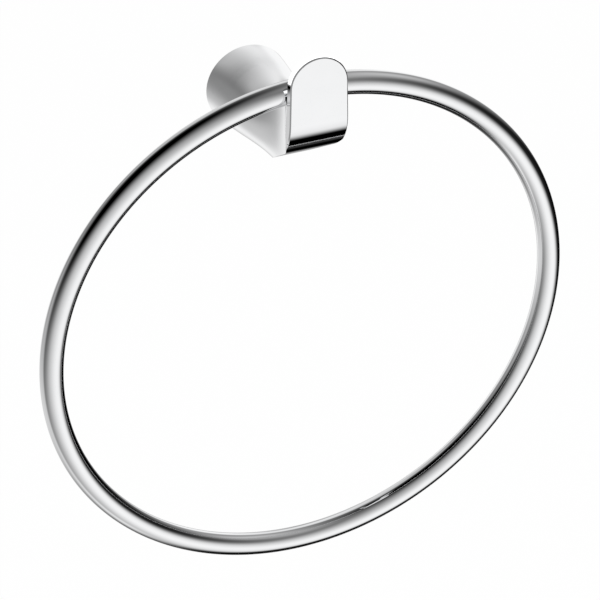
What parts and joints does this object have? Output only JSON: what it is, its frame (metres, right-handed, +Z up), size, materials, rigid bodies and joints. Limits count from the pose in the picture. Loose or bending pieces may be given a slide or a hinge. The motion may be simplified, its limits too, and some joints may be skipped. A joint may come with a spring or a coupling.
{
  "type": "towel ring",
  "caption": "Chrome towel ring: a round bar bent to a full circle swings in the throat of a hook-shaped post with a flat front tab, fixed to a wall by a hidden bracket.",
  "frame": {"origin": "centre of the post's round foot, on the wall", "axes": "+Z up, +Y into the wall, so the front tab faces -Y; X runs along the wall"},
  "size_m": [0.2002, 0.0655, 0.2107],
  "materials": {
    "chrome_plate": "mirror-bright chrome plate",
    "plated_steel": "dull zinc plate",
    "screw_steel": "bare stainless steel"
  },
  "bodies": {
    "base": {"post": "chrome_plate", "wall_bracket": "plated_steel", "grub_screw": "screw_steel"},
    "ring": {"ring": "chrome_plate"}
  },
  "joints": [
    {"name": "ring_swing", "type": "hinge", "parent": "base", "child": "ring", "pos_m": [0, -0.0576, 0.0274], "axis": [-1, 0, 0], "range_deg": [-16, 90]}
  ]
}
